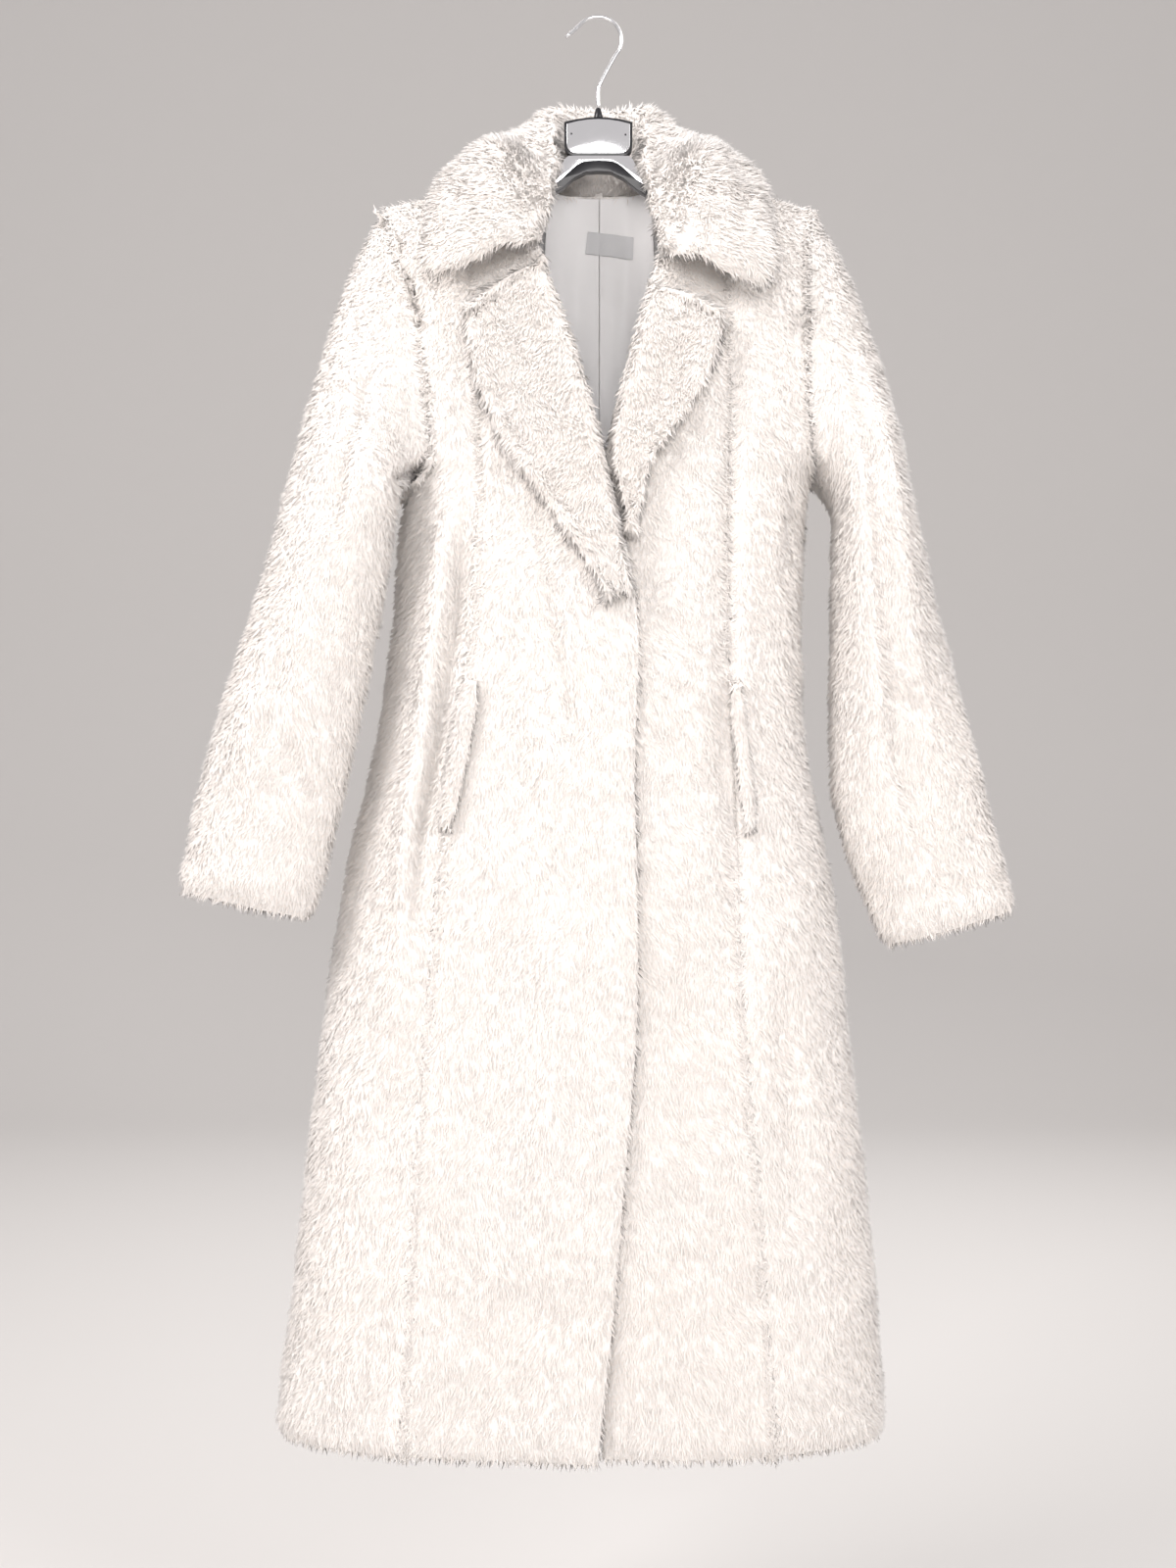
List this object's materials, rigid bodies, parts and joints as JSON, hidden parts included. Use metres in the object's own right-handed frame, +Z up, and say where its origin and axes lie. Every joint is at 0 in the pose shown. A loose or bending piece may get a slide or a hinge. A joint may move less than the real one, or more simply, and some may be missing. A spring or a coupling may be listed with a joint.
{
  "type": "faux fur coat on a hanger",
  "caption": "Long white faux fur coat with a wide folded collar, turned lapels, side pocket welts and long sleeves, hung on a black and chrome hanger",
  "frame": {"origin": "inside of the hook's bend at its top, where the hook rests on a rail", "axes": "+Z up, front of the coat towards -Y, wearer's left towards +X"},
  "size_m": [0.6891, 0.1952, 1.1759],
  "materials": {
    "fur": "plush faux fur, pile about 10 mm, ivory white",
    "lining": "white satin lining",
    "label": "light grey satin label, bare",
    "hanger_black": "gloss black",
    "hanger_plate": "bright mirror plating",
    "hanger_wire": "bright bent wire"
  },
  "bodies": {
    "root": {"front_centre_right": "fur", "front_side_right": "fur", "front_centre_left": "fur", "front_side_left": "fur", "back_right": "fur", "back_left": "fur", "sleeve_right": "fur", "sleeve_left": "fur", "collar": "fur", "lapel_right": "fur", "lapel_left": "fur", "pocket_welt_right": "fur", "pocket_welt_left": "fur", "lining_right": "lining", "lining_left": "lining", "neck_label": "label", "hanger_hook": "hanger_wire", "hanger_ferrule": "hanger_black", "hanger_frame": "hanger_black", "hanger_body": "hanger_black", "hanger_plate": "hanger_plate", "hanger_shell": "hanger_plate"}
  },
  "joints": []
}
